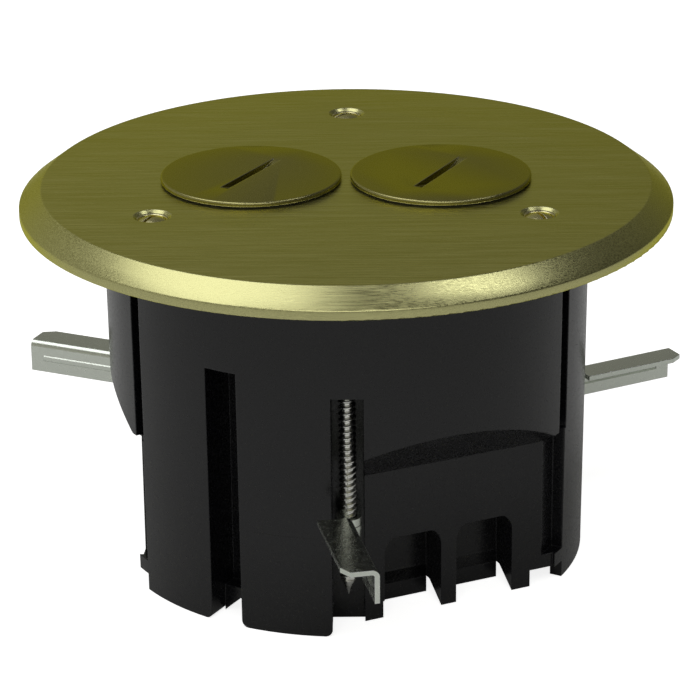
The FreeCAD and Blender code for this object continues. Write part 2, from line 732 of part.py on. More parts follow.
def arm_corner(name):
    """The tool that slopes off the tip's far corner."""
    slope = "atan(arm_corner_depth / arm_corner_run)"
    made = box(f"arm_corner_{name}", f"arm_reach - arm_corner_run + arm_width * sin({slope})",
               f"-arm_offset - arm_width - arm_width * cos({slope})", "-2 * arm_sheet",
               "2 * arm_corner_run + arm_width", "arm_width", "4 * arm_sheet")
    made.setExpression("Placement.Rotation.Angle", sized(slope))
    return made


def duplex_face():
    """The receptacle's cover: two round outlet faces with flats, on a low rectangular cap."""
    cap = box("face_cap", "-receptacle_length / 2", "-receptacle_width / 2", BASE_TOP,
              "receptacle_length", "receptacle_width", f"{FACE_TOP} - face_height - {BASE_TOP}")
    root = f"{FACE_TOP} - face_height - 1"
    faces, tools = [], [rod("face_centre", "centre_screw_radius", -REACH, 2 * REACH)]
    for side, x in PLUGS.items():
        round_face = rod(f"face_round_{side}", "face_radius", root, "face_height + 1", x)
        band = box(f"face_band_{side}", f"{x} - face_radius", "-face_flat", root,
                   "2 * face_radius", "2 * face_flat", "face_height + 1")
        faces.append(meet(f"face_{side}", round_face, band))
        tools += blades(side, x)
    return cut("duplex_face_made", join("face_solid", cap, *faces), *tools)


def blades(side, x):
    """The two blade slots and the round earth hole of one outlet."""
    made = [rod(f"earth_hole_{side}", "ground_radius", -REACH, 2 * REACH, f"{x} + blade_offset - ground_offset")]
    for kind, way in RAILS.items():
        made.append(box(f"{kind}_slot_{side}", f"{x} + blade_offset - {kind}_length / 2",
                        f"{way} * blade_gap / 2 - blade_width / 2", -REACH,
                        f"{kind}_length", "blade_width", 2 * REACH))
    return made


def rail_low(way):
    """The low edge in Y of a trough that opens to one side of the receptacle."""
    return "blade_gap / 2 - blade_width" if way > 0 else "-receptacle_width / 2 - 1"


def duplex_base():
    """The receptacle's moulded base: a block with a trough for each contact rail."""
    block = box("base_block", "-receptacle_length / 2", "-receptacle_width / 2", f"{BASE_TOP} - base_height",
                "receptacle_length", "receptacle_width", "base_height")
    tools = []
    for kind, way in RAILS.items():
        tools.append(box(f"{kind}_trough", "-contact_length / 2 - fit_gap", rail_low(way),
                         f"{BASE_TOP} - contact_drop", "contact_length + 2 * fit_gap",
                         "receptacle_width / 2 + 1 - blade_gap / 2 + blade_width", "contact_drop + 1"))
    for side, x in PLUGS.items():
        tools.append(rod(f"earth_well_{side}", "ground_radius", f"{BASE_TOP} - contact_drop",
                         "contact_drop + 1", f"{x} + blade_offset - ground_offset"))
    tools.append(rod("base_centre", "centre_screw_radius", f"{BASE_TOP} - contact_drop", "contact_drop + 1"))
    tools.append(rod_out("base_earth_hole", "terminal_radius + fit_gap", "receptacle_length / 2 - terminal_length",
                         0, EARTH_LEVEL, "terminal_length + 1"))
    return cut("duplex_base_made", block, *tools)


def contact(kind, way):
    """A brass rail: the strip beside the blades, folded under and up to the terminal plate."""
    made = body(f"{kind}_rail")
    inner, outer = "(blade_gap / 2 + blade_width / 2)", "receptacle_width / 2"
    low, sheet = f"({BASE_TOP} - contact_drop)", "contact_sheet"
    top, plate_top = f"{BASE_TOP} - {sheet}", f"{BASE_TOP} - contact_drop + terminal_level"
    corners = [(inner, low), (outer, low), (outer, plate_top), (f"{outer} - {sheet}", plate_top),
               (f"{outer} - {sheet}", f"{low} + {sheet}"), (f"{inner} + {sheet}", f"{low} + {sheet}"),
               (f"{inner} + {sheet}", top), (inner, top)]
    corners = [(f"{way} * ({y})", z) for y, z in corners]
    pad(made, f"{kind}_strip", "YZ_Plane", lambda drawn: outline(drawn, corners), "contact_length")
    place(made, x="-contact_length / 2")
    start = "blade_gap" if way > 0 else f"-blade_gap - {REACH}"
    holes = [rod_across(f"{kind}_tap_{side}", "terminal_radius + fit_gap", x, start, TERMINAL_LEVEL, REACH)
             for side, x in TERMINALS.items()]
    return cut(f"{kind}_contact_made", made, *holes)


def terminal_screws(kind, way):
    """The two binding screws of a contact rail."""
    screws = []
    for side, x in TERMINALS.items():
        face = "receptacle_width / 2"
        shank = (f"{face} - terminal_length", "terminal_length + fit_gap")
        head = (face, "terminal_head_height")
        for piece, radius, (start, length) in (("shank", "terminal_radius", shank),
                                               ("head", "terminal_head_radius", head)):
            low = start if way > 0 else f"-({start}) - ({length})"
            screws.append(rod_across(f"{kind}_{piece}_{side}", radius, x, low, TERMINAL_LEVEL, length))
    slot_low = f"{face} + terminal_head_height - cover_slot_depth" if way > 0 else (
        f"-{face} - terminal_head_height - 1")
    slots = [box(f"{kind}_driver_{side}", f"{x} - 2 * terminal_radius", slot_low,
                 f"{TERMINAL_LEVEL} - cover_slot_width / 2", "4 * terminal_radius", "cover_slot_depth + 1",
                 "cover_slot_width") for side, x in TERMINALS.items()]
    return cut(f"{kind}_terminals_made", join(f"{kind}_terminals_solid", *screws), *slots)


def earth_screw():
    """The green earthing screw in the yoke's end."""
    start = "receptacle_length / 2 + fit_gap + yoke_sheet"
    shank = rod_out("earth_shank", "terminal_radius", f"{start} - terminal_length", 0, EARTH_LEVEL,
                    "terminal_length + fit_gap")
    head = rod_out("earth_head", "yoke_head_radius", start, 0, EARTH_LEVEL, "terminal_head_height")
    slot = box("earth_driver", f"{start} + terminal_head_height - cover_slot_depth", "-yoke_head_radius",
               f"{EARTH_LEVEL} - cover_slot_width / 2", "2 * cover_slot_depth", "2 * yoke_head_radius",
               "cover_slot_width")
    return cut("earth_screw_made", join("earth_solid", shank, head), slot)


def duplex_yoke():
    """The steel strap that wraps under the base and ends in two ears on the box's posts."""
    made = body("yoke_strip")
    leg, out, sheet = "(receptacle_length / 2 + fit_gap)", "yoke_length / 2", "yoke_sheet"
    low = f"({BASE_TOP} - base_height - yoke_sheet)"
    half = [(out, YOKE_TOP), (out, BASE_TOP), (f"{leg} + {sheet}", BASE_TOP), (f"{leg} + {sheet}", low)]
    inner = [(leg, f"{low} + {sheet}"), (leg, YOKE_TOP)]
    left = [(f"-({x})", z) for x, z in reversed(half)]
    left_inner = [(f"-({x})", z) for x, z in reversed(inner)]
    corners = half + left + left_inner + inner
    pad(made, "yoke_strap", "XZ_Plane", lambda drawn: outline(drawn, corners), "yoke_width")
    place(made, y="yoke_width / 2")
    tools = [rod(f"yoke_hole_{side}", "yoke_screw_radius + cover_hole_clearance", -REACH, REACH,
                 f"{way} * yoke_screw_spacing / 2") for side, way in SIDES.items()]
    tools.append(rod_out("yoke_earth_hole", "terminal_radius + fit_gap", 0, 0, EARTH_LEVEL, 2 * REACH))
    return cut("duplex_yoke_made", made, *tools)


def yoke_screws():
    """The two screws that hold the yoke's ears to the posts."""
    pieces, slots = [], []
    for side, way in SIDES.items():
        x = f"({way} * yoke_screw_spacing / 2)"
        pieces.append(rod(f"yoke_shank_{side}", "yoke_screw_radius", f"{YOKE_TOP} - yoke_screw_length + 1",
                          "yoke_screw_length - 1 + fit_gap", x))
        pieces.append(rod(f"yoke_head_{side}", "yoke_head_radius", YOKE_TOP, "yoke_head_height", x))
        slots.append(box(f"yoke_driver_{side}", f"{x} - yoke_head_radius", "-cover_slot_width / 2",
                         f"{YOKE_TOP} + yoke_head_height - cover_slot_depth", "2 * yoke_head_radius",
                         "cover_slot_width", "2 * cover_slot_depth"))
    return cut("yoke_screws_made", join("yoke_screw_solid", *pieces), *slots)


def main():
    """Make every sub-part, check it and write its file."""
    nodes = {"cover_plate": cover_plate(), "cover_gasket": cover_gasket(), **box_body()}
    for side in PLUGS:
        nodes[f"plug_{side}"] = plug(side)
        nodes[f"plug_seal_{side}"] = plug_seal(side)
    for name in COVER_SCREWS:
        nodes[f"cover_screw_{name}"] = cover_screw(name)
    for name in CLAMPS:
        nodes[f"clamp_screw_{name}"] = clamp_screw(name)
        nodes[f"clamp_arm_{name}"] = clamp_arm(name)
    nodes["receptacle_face"] = duplex_face()
    nodes["receptacle_base"] = duplex_base()
    nodes["receptacle_yoke"] = duplex_yoke()
    for kind, way in RAILS.items():
        nodes[f"{kind}_contact"] = contact(kind, way)
        nodes[f"{kind}_terminal_screws"] = terminal_screws(kind, way)
    nodes["earth_screw"] = earth_screw()
    nodes["yoke_screws"] = yoke_screws()
    DOC.recompute()
    for thing in DOC.Objects:
        if "Invalid" in thing.State or "Error" in thing.State:
            raise RuntimeError(f"{thing.Name} failed: {thing.State}")
    os.makedirs("parts", exist_ok=True)
    for node, thing in nodes.items():
        thing.Label = node
        if thing.Shape.isNull() or not thing.Shape.isValid() or not thing.Shape.Solids:
            raise RuntimeError(f"{node} has no valid shape")
    for node, thing in nodes.items():
        thing.Shape.exportStep(f"parts/{node}.step")
        print(f"{node}: {len(thing.Shape.Solids)} solid, {thing.Shape.Volume:.0f} mm3")


main()
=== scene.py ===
import json
import math

import bmesh
import bpy
from mathutils import Matrix, Vector

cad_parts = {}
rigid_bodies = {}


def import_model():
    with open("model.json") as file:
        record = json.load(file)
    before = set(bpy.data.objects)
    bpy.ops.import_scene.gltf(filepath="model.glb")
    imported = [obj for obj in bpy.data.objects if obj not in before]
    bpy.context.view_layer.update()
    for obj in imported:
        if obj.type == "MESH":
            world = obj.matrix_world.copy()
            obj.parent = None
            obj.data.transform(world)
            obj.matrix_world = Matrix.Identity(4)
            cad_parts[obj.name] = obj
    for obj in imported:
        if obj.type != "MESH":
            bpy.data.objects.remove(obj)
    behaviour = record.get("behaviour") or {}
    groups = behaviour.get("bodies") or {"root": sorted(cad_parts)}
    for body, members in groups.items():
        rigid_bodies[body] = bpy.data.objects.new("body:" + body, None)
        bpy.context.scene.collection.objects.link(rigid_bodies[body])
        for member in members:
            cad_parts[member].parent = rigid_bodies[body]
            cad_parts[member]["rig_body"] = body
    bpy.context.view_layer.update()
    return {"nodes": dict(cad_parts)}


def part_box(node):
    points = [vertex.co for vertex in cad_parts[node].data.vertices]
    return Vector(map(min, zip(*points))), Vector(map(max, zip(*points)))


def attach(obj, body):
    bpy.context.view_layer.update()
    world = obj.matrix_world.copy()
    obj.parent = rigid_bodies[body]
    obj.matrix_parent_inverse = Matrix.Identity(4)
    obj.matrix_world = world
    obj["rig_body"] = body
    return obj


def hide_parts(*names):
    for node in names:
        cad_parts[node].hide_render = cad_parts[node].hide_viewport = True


bl_info = {
    "name": "Floor Socket Box",
    "version": (1, 0, 0),
    "blender": (4, 5, 0),
    "location": "View3D > Sidebar > Floor Box",
    "description": "Dresses the packed floor socket box in brass, moulded plastic and plated steel",
    "category": "Object",
}

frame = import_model()
NODES = frame["nodes"]
PLATE_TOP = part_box("cover_plate")[1].z
BOX_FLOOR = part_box("box_base")[0].z
SIDES = ("left", "right")
CLAMPS = ("front", "left", "right")
COVER_SCREWS = {"back": 20, "left": 50, "right": -61}  # the turn of each slot in degrees
FLAT_TURNS = (294.5, 174.5, 54.5)  # the way each flat side of the box faces, in degrees
FLAT_DISTANCE = 0.040  # from the centre line to each flat side
ENTRY_SPANS = ((-0.0103, 0.0024), (0.0058, 0.0185))  # where the cable entries lie along a flat
ENTRY_SILL = 0.0030  # how far above the box's floor an entry is cut down to
ENTRY_RISE = 0.0049  # how far an entry's back reaches above the scoop's centre line
PIN_TURNS = (326.5, 206.5, 86.5)  # where three thin pins hang from the box's floor, in degrees
PIN_RADIUS = 0.04698
PIN_REACH = 0.0007  # how near a vertex lies to a pin's middle when it belongs to the pin
NEAR = 0.0001  # two levels closer than this count as one
RIM_NEAR = 0.00005  # two radii closer than this count as one, on a plug
SHANK_NEAR = 0.00003  # the same on a clamp screw
HEAD_DEPTH = 0.00035  # how far below the plate's top a cover screw's head counts as head
SCREW_HEAD_BELOW = -0.01  # below this level a clamp screw is shank, point and shoulder
SHANK_TOP = 0.0003  # above this level a clamp screw is head
THREAD_TOP = -0.0008  # where a clamp screw's thread ends under its head
THREAD_TAPER = 0.12  # narrowest that a thread gets at a clamp screw's point


# ---- values a user would change -------------------------------------------------------------

def length(name, text, value):
    return bpy.props.FloatProperty(name=name, description=text, default=value,
                                   unit="LENGTH", precision=5)


def share(name, text, value):
    return bpy.props.FloatProperty(name=name, description=text, default=value,
                                   subtype="FACTOR", min=0, max=1)


def power(name, text, value):
    return bpy.props.FloatProperty(name=name, description=text, default=value, unit="POWER")


def colour(name, text, value):
    return bpy.props.FloatVectorProperty(name=name, description=text, default=value,
                                         subtype="COLOR", min=0, max=1)


class FLOORBOX_PG_cover(bpy.types.PropertyGroup):
    """Brass of the plate, plugs and cover screws."""
    plate_brass: colour("Plate brass", "Colour of the brushed plate", (0.60, 0.582, 0.275))
    plug_brass: colour("Plug brass", "Colour of the turned plugs", (0.39, 0.362, 0.150))
    screw_brass: colour("Screw brass", "Colour of the cover screws", (0.72, 0.665, 0.36))
    glance: colour("Glancing tint", "Tint of the brass seen at a low angle", (1.0, 0.97, 0.24))
    head_sink: length("Head sink", "How far the screw heads sit below the plate", 0.0008)
    head_scale: share("Head scale", "Width of a screw head in its countersink", 0.80)
    brush_width: length("Brush width", "Spacing of the brush lines", 0.00019)
    brush_depth: length("Brush depth", "Depth of the brush lines", 0.0000045)
    edge_round: length("Edge round", "Rounding shown on the brass edges", 0.0003)
    thread_pitch: length("Plug thread pitch", "Rise of a plug in one turn", 0.0015)
    thread_depth: length("Plug thread depth", "Depth of a plug's thread", 0.0005)


class FLOORBOX_PG_box(bpy.types.PropertyGroup):
    """Moulded box, gasket and seals."""
    plastic: colour("Plastic", "Colour of the moulded box", (0.0050, 0.0050, 0.0062))
    rubber: colour("Rubber", "Colour of the gasket and seals", (0.010, 0.010, 0.010))
    roughness: share("Roughness", "Roughness of the moulded plastic", 0.24)
    edge_round: length("Edge round", "Rounding shown on the moulded edges", 0.00035)
    grain: length("Grain", "Size of the mould's fine grain", 0.0006)
    entry_depth: length("Entry depth", "Depth of the cable entries' upright backs", 0.0070)
    entry_top: length("Entry top", "Height of the scoops' centre line above the box's floor", 0.0112)
    entry_back: length("Entry back", "Thickness of an entry's back", 0.0020)


class FLOORBOX_PG_clamp(bpy.types.PropertyGroup):
    """Plated clamp screws and swing arms."""
    arm_plate: colour("Arm plating", "Colour of the plated arms", (0.76, 0.80, 0.72))
    screw_plate: colour("Screw plating", "Colour of the plated screws", (0.80, 0.80, 0.76))
    pitch: length("Thread pitch", "Pitch of the clamp screws", 0.0013)
    root: length("Thread root", "Radius at the root of the thread", 0.00122)
    edge_round: length("Edge round", "Rounding shown on the folded sheet", 0.00015)
    rib_start: length("Rib start", "Distance of the pressed rib from an arm's tip", 0.0030)
    rib_width: length("Rib width", "Width of the pressed rib", 0.0014)
    rib_depth: length("Rib depth", "Depth of the pressed rib", 0.00028)


class FLOORBOX_PG_receptacle(bpy.types.PropertyGroup):
    """Duplex receptacle under the plugs."""
    face: colour("Face", "Colour of the nylon face", (0.80, 0.77, 0.68))
    base: colour("Base", "Colour of the moulded base", (0.72, 0.69, 0.60))
    yoke: colour("Yoke", "Colour of the plated strap", (0.60, 0.62, 0.62))
    contact: colour("Contact", "Colour of the brass contacts", (0.62, 0.48, 0.20))
    earth: colour("Earth", "Colour of the dyed earth screw", (0.03, 0.22, 0.06))


class FLOORBOX_PG_stage(bpy.types.PropertyGroup):
    """Camera, lights and floor."""
    eye: bpy.props.FloatVectorProperty(
        name="Eye", description="Place of the camera", default=(0.003237, -0.618242, 0.214460),
        subtype="TRANSLATION", unit="LENGTH", precision=6)
    aim: bpy.props.FloatVectorProperty(
        name="Aim", description="Turn of the camera, X then Y then Z",
        default=tuple(math.radians(v) for v in (68.2246, 0.51329, 0.04919)), subtype="EULER", precision=5)
    lens: bpy.props.FloatProperty(
        name="Lens", description="Focal length in millimetres on a 36 mm sensor", default=163.295)
    left_light: power("Left light", "Power of the wide overhead light", 2.95)
    right_light: power("Right light", "Power of the narrow overhead light", 0.80)
    front_light: power("Front light", "Power of the light over the floor in front", 5.9)
    surround: colour("Surround", "Colour of the studio round the object", (0.195, 0.193, 0.168))
    falloff: bpy.props.FloatVectorProperty(
        name="Falloff", description="How the surround darkens along X, Y and Z", default=(0.75, 0.0, 0.60))
    lamp: colour("Lamp", "Colour of the overhead lights", (0.95, 0.96, 1.0))
    floor: colour("Floor", "Colour of the plain floor", (0.90, 0.90, 0.90))
    glow: share("Floor glow", "How much paler the floor looks than it lights the object", 0.85)


# ---- shader parts shared by the finishes ----------------------------------------------------

TEXTURE_OUTPUTS = [("Value", "NodeSocketFloat"), ("Normal", "NodeSocketVector")]
BRUSH_STRETCH = 0.012  # how much the brush lines are drawn out along X
BRASS_EDGE_HIGHLIGHT = (0.85, 0.80, 0.58)  # pale colour on the rounded brass edges: a painted highlight


def effect(name, inputs, outputs):
    """A new shader node group with named sockets, and its input and output nodes."""
    tree = bpy.data.node_groups.new(name, "ShaderNodeTree")
    for label, kind, value in inputs:
        made = tree.interface.new_socket(label, in_out="INPUT", socket_type=kind)
        if value is not None:
            made.default_value = value
    for label, kind in outputs:
        tree.interface.new_socket(label, in_out="OUTPUT", socket_type=kind)
    return tree, tree.nodes.new("NodeGroupInput"), tree.nodes.new("NodeGroupOutput")


def add(tree, kind, links=None, **values):
    """A node with its settings, its plain socket values and its links by socket name."""
    node = tree.nodes.new(kind)
    for name, value in values.items():
        setattr(node, name, value)
    for name, source in (links or {}).items():
        if isinstance(source, bpy.types.NodeSocket):
            tree.links.new(source, node.inputs[name])
        else:
            node.inputs[name].default_value = source
    return node


def bumped(tree, noise, given, put):
    """Give a texture group its value and a normal bumped by it."""
    bump = add(tree, "ShaderNodeBump", {"Height": noise.outputs["Fac"], "Distance": given.outputs["Depth"],
                                        "Normal": given.outputs["Normal"]})
    tree.links.new(noise.outputs["Fac"], put.inputs["Value"])
    tree.links.new(bump.outputs["Normal"], put.inputs["Normal"])
    return tree


def grain_effect():
    """Fine mottling of a moulded or plated face: a value and a bumped normal."""
    inputs = [("Scale", "NodeSocketFloat", 1500.0), ("Depth", "NodeSocketFloat", 0.00001),
              ("Normal", "NodeSocketVector", None)]
    tree, given, put = effect("surface_grain", inputs, TEXTURE_OUTPUTS)
    where = add(tree, "ShaderNodeTexCoord")
    noise = add(tree, "ShaderNodeTexNoise", {"Vector": where.outputs["Object"],
                                             "Scale": given.outputs["Scale"], "Detail": 3.0})
    return bumped(tree, noise, given, put)


def brushing_effect():
    """Straight brush lines along X: a value and a bumped normal."""
    inputs = [("Lines", "NodeSocketFloat", 3500.0), ("Depth", "NodeSocketFloat", 0.00001),
              ("Normal", "NodeSocketVector", None)]
    tree, given, put = effect("straight_brushing", inputs, TEXTURE_OUTPUTS)
    where = add(tree, "ShaderNodeTexCoord")
    stretch = add(tree, "ShaderNodeMapping", {"Vector": where.outputs["Object"],
                                              "Scale": (BRUSH_STRETCH, 1.0, 1.0)})
    fine = add(tree, "ShaderNodeTexNoise", {"Vector": stretch.outputs["Vector"],
                                            "Scale": given.outputs["Lines"], "Detail": 4.0})
    return bumped(tree, fine, given, put)


def edge_effect():
    """Rounded edges, and a mask of where they are."""
    tree, given, put = effect("rounded_edge", [("Radius", "NodeSocketFloat", 0.0003)],
                              [("Mask", "NodeSocketFloat"), ("Normal", "NodeSocketVector")])
    rounded = add(tree, "ShaderNodeBevel", {"Radius": given.outputs["Radius"]}, samples=6)
    plain = add(tree, "ShaderNodeNewGeometry")
    same = add(tree, "ShaderNodeVectorMath", {0: rounded.outputs["Normal"], 1: plain.outputs["Normal"]},
               operation="DOT_PRODUCT")
    mask = add(tree, "ShaderNodeMapRange", {"Value": same.outputs["Value"],
                                            "From Min": 1.0, "From Max": 0.85})
    tree.links.new(mask.outputs["Result"], put.inputs["Mask"])
    tree.links.new(rounded.outputs["Normal"], put.inputs["Normal"])
    return tree


def finish(name, base, metallic, roughness, spread=0.05, vary=0.08, edge=0.0, edge_highlight=None, grain=1500.0,
           depth=0.000004, brushed=None, **plain):
    """A procedural material: a shader fed by edge, grain or brushing groups.

    The texture moves the roughness by spread and the base colour by vary. An edge_highlight colour is a
    painted highlight laid along the rounded edges. Plain values stay on the shader's own sockets.
    """
    made = bpy.data.materials.new(name)
    made.use_nodes = True
    tree = made.node_tree
    tree.nodes.clear()
    out = add(tree, "ShaderNodeOutputMaterial")
    shader = add(tree, "ShaderNodeBsdfPrincipled", {"Metallic": metallic})
    for label, value in plain.items():
        shader.inputs[label.replace("_", " ")].default_value = value
    tree.links.new(shader.outputs["BSDF"], out.inputs["Surface"])
    normal = None
    mask = None
    if edge:
        rounded = add(tree, "ShaderNodeGroup", node_tree=EFFECTS["edge"])
        rounded.inputs["Radius"].default_value = edge
        normal, mask = rounded.outputs["Normal"], rounded.outputs["Mask"]
    texture = add(tree, "ShaderNodeGroup", node_tree=EFFECTS["brushing" if brushed else "grain"])
    texture.inputs[0].default_value = brushed or grain
    texture.inputs["Depth"].default_value = depth
    if normal:
        tree.links.new(normal, texture.inputs["Normal"])
    else:
        tree.links.new(add(tree, "ShaderNodeNewGeometry").outputs["Normal"], texture.inputs["Normal"])
    tree.links.new(texture.outputs["Normal"], shader.inputs["Normal"])
    limits = {"From Min": 0.3, "From Max": 0.7, "To Min": max(roughness - spread, 0.02),
              "To Max": roughness + spread}
    rough = add(tree, "ShaderNodeMapRange", {"Value": texture.outputs["Value"], **limits})
    tree.links.new(rough.outputs["Result"], shader.inputs["Roughness"])
    low = tuple(c * (1 - vary) for c in base) + (1,)
    high = tuple(min(c * (1 + vary), 1) for c in base) + (1,)
    tint = tree.nodes.new("ShaderNodeMix")
    tint.data_type = "RGBA"
    tree.links.new(texture.outputs["Value"], tint.inputs["Factor"])
    tint.inputs[6].default_value, tint.inputs[7].default_value = low, high
    shown = tint.outputs[2]
    # painted highlight: a paler colour mixed in along the rounded edges
    if edge_highlight and mask:
        highlighted = tree.nodes.new("ShaderNodeMix")
        highlighted.data_type = "RGBA"
        tree.links.new(mask, highlighted.inputs["Factor"])
        tree.links.new(shown, highlighted.inputs[6])
        highlighted.inputs[7].default_value = tuple(edge_highlight) + (1,)
        shown = highlighted.outputs[2]
    tree.links.new(shown, shader.inputs["Base Color"])
    return made


EFFECTS = {}


# ---- mesh helpers ---------------------------------------------------------------------------

def merged(*nodes, meet=None):
    """A bmesh of CAD nodes with doubles merged and flat faces joined.

    Nodes that meet on a level are welded there.
    """
    made = bmesh.new()
    for node in nodes:
        made.from_mesh(NODES[node].data)
    if meet is not None:
        inner = [f for f in made.faces if all(abs(v.co.z - meet) < 0.000005 for v in f.verts)]
        bmesh.ops.delete(made, geom=inner, context="FACES")
    bmesh.ops.remove_doubles(made, verts=made.verts, dist=0.000002 if meet is None else 0.00001)
    bmesh.ops.dissolve_limit(made, angle_limit=math.radians(0.1), verts=made.verts, edges=made.edges)
    return made


def stand(shape, piece, node, finishes, sharp=28.0, also=()):
    """Turn a bmesh into a smooth-shaded piece that rides with a CAD node.

    It stands for that node and for any also named.
    """
    for face in shape.faces:
        face.smooth = True
    for edge in shape.edges:
        edge.smooth = edge.is_manifold and edge.calc_face_angle(0) < math.radians(sharp)
    mesh = bpy.data.meshes.new(piece)
    shape.to_mesh(mesh)
    shape.free()
    made = bpy.data.objects.new(piece, mesh)
    bpy.context.scene.collection.objects.link(made)
    mesh.materials.clear()
    mesh.materials.append(finishes)
    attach(made, NODES[node]["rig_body"])
    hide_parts(node, *also)
    return made


def add_thread(shape, x, y, bottom, top, root, crest, pitch, steps=24):
    """Add a closed helical ridge round the upright line through x, y. Returns its vertices."""
    foot, half, flat = root - 0.05 * pitch, 0.44 * pitch, 0.06 * pitch
    outline = ((foot, -half), (crest, -flat), (crest, flat), (foot, half))
    corners = [shape.verts.new((x + r, y, bottom + z)) for r, z in outline]
    face = shape.faces.new(corners)
    before = set(shape.verts) - set(corners)
    count = int((top - bottom) / pitch * steps)
    bmesh.ops.spin(shape, geom=[face] + face.edges[:] + corners, cent=(x, y, 0), axis=(0, 0, 1),
                   dvec=(0, 0, pitch / steps), angle=math.tau * count / steps, steps=count,
                   use_duplicate=False)
    new = [v for v in shape.verts if v not in before]
    faces = {f for v in new for f in v.link_faces}
    bmesh.ops.recalc_face_normals(shape, faces=list(faces))
    return new


def emboss(arm, start, width, depth):
    """Press a long rib into both sides of an arm's upright web, all along it from near its tip."""
    sides = sorted((f for f in arm.faces if abs(f.normal.z) < 0.01), key=lambda f: -f.calc_area())[:2]
    inward = -sides[0].normal
    for web in sides:
        along = web.normal.cross(Vector((0, 0, 1)))
        if along.dot(web.calc_center_median()) < 0:
            along = -along
        tip = max(v.co.dot(along) for v in web.verts)
        root = min(v.co.dot(along) for v in web.verts)
        middle = (max(v.co.z for v in web.verts) + min(v.co.z for v in web.verts)) / 2
        middle += width / 3
        face = web
        for point, normal in ((along * (tip - start), along), (along * (root + start), -along),
                              (Vector((0, 0, middle + width / 2)), Vector((0, 0, 1))),
                              (Vector((0, 0, middle - width / 2)), Vector((0, 0, -1)))):
            parts = bmesh.ops.bisect_plane(arm, geom=[face] + face.edges[:] + face.verts[:],
                                           plane_co=point, plane_no=normal)
            halves = [f for f in parts["geom"] if isinstance(f, bmesh.types.BMFace)]
            face = min(halves, key=lambda f: (f.calc_center_median() - point).dot(normal))
        sign = 1 if face.normal.dot(inward) > 0 else -1
        bmesh.ops.inset_region(arm, faces=[face], thickness=width * 0.3, depth=sign * depth)


def add_block(shape, low, high, turn):
    """Add a closed block between two corners, turned in degrees about the centre line."""
    low, high = Vector(low), Vector(high)
    place = Matrix.Rotation(math.radians(turn), 4, "Z") @ Matrix.Translation((low + high) / 2)
    bmesh.ops.create_cube(shape, size=1, matrix=place @ Matrix.Diagonal((*(high - low), 1)))


def carved(shape, tools):
    """A bmesh with the closed blocks of another cut out of it. Both are used up."""
    pair = []
    for name, source in (("carved_piece", shape), ("carving_tools", tools)):
        mesh = bpy.data.meshes.new(name)
        source.to_mesh(mesh)
        source.free()
        pair.append(bpy.data.objects.new(name, mesh))
        bpy.context.scene.collection.objects.link(pair[-1])
    change = pair[0].modifiers.new("carve", "BOOLEAN")
    change.operation, change.object, change.solver = "DIFFERENCE", pair[1], "EXACT"
    made = bmesh.new()
    made.from_object(pair[0], bpy.context.evaluated_depsgraph_get())
    for used in pair:
        mesh = used.data
        bpy.data.objects.remove(used)
        bpy.data.meshes.remove(mesh)
    return made


def open_entries(walls, top, depth, back):
    """Open the cable entries down through the box's floor, with an upright back in each.

    Returns the new bmesh.
    """
    tools = bmesh.new()
    inner, outer, level = FLAT_DISTANCE - depth, FLAT_DISTANCE + 0.001, BOX_FLOOR + top
    for turn in FLAT_TURNS:
        for start, end in ENTRY_SPANS:
            add_block(tools, (inner, start, BOX_FLOOR + ENTRY_SILL), (outer, end, level), turn)
    made = carved(walls, tools)
    for turn in FLAT_TURNS:
        for start, end in ENTRY_SPANS:
            add_block(made, (inner - back, start, BOX_FLOOR + NEAR), (inner, end, level + ENTRY_RISE), turn)
    return made


def drop_pins(walls):
    """Take away the thin pins that hang from the box's floor, and close the holes they leave."""
    for turn in PIN_TURNS:
        at = PIN_RADIUS * Vector((math.cos(math.radians(turn)), math.sin(math.radians(turn))))
        low = [v for v in walls.verts if v.co.z < BOX_FLOOR + NEAR]
        pin = [v for v in low if (v.co.xy - at).length < PIN_REACH]
        bmesh.ops.delete(walls, geom=pin, context="VERTS")
    loose = [e for e in walls.edges if e.is_boundary]
    bmesh.ops.holes_fill(walls, edges=loose, sides=0)


# ---- operators, one for each group of pieces ------------------------------------------------

class FLOORBOX_OT_cover(bpy.types.Operator):
    """Dress the brushed brass plate and the gasket under it"""
    bl_idname = "floorbox.cover"
    bl_label = "Cover plate"

    def execute(self, context):
        cover, box = context.scene.floorbox_cover, context.scene.floorbox_box
        # the plate's edge colour is a painted highlight along its rounded edges
        brass = finish("brushed_brass", tuple(cover.plate_brass), 1.0, 0.30, spread=0.10, vary=0.34,
                       edge=cover.edge_round, edge_highlight=BRASS_EDGE_HIGHLIGHT, brushed=1 / cover.brush_width,
                       depth=cover.brush_depth, Specular_Tint=tuple(cover.glance) + (1,))
        stand(merged("cover_plate"), "brass_cover_plate", "cover_plate", brass)
        rubber = finish("black_rubber", tuple(box.rubber), 0.0, 0.65, grain=2500.0, depth=0.00002)
        stand(merged("cover_gasket"), "plate_gasket", "cover_gasket", rubber)
        return {"FINISHED"}


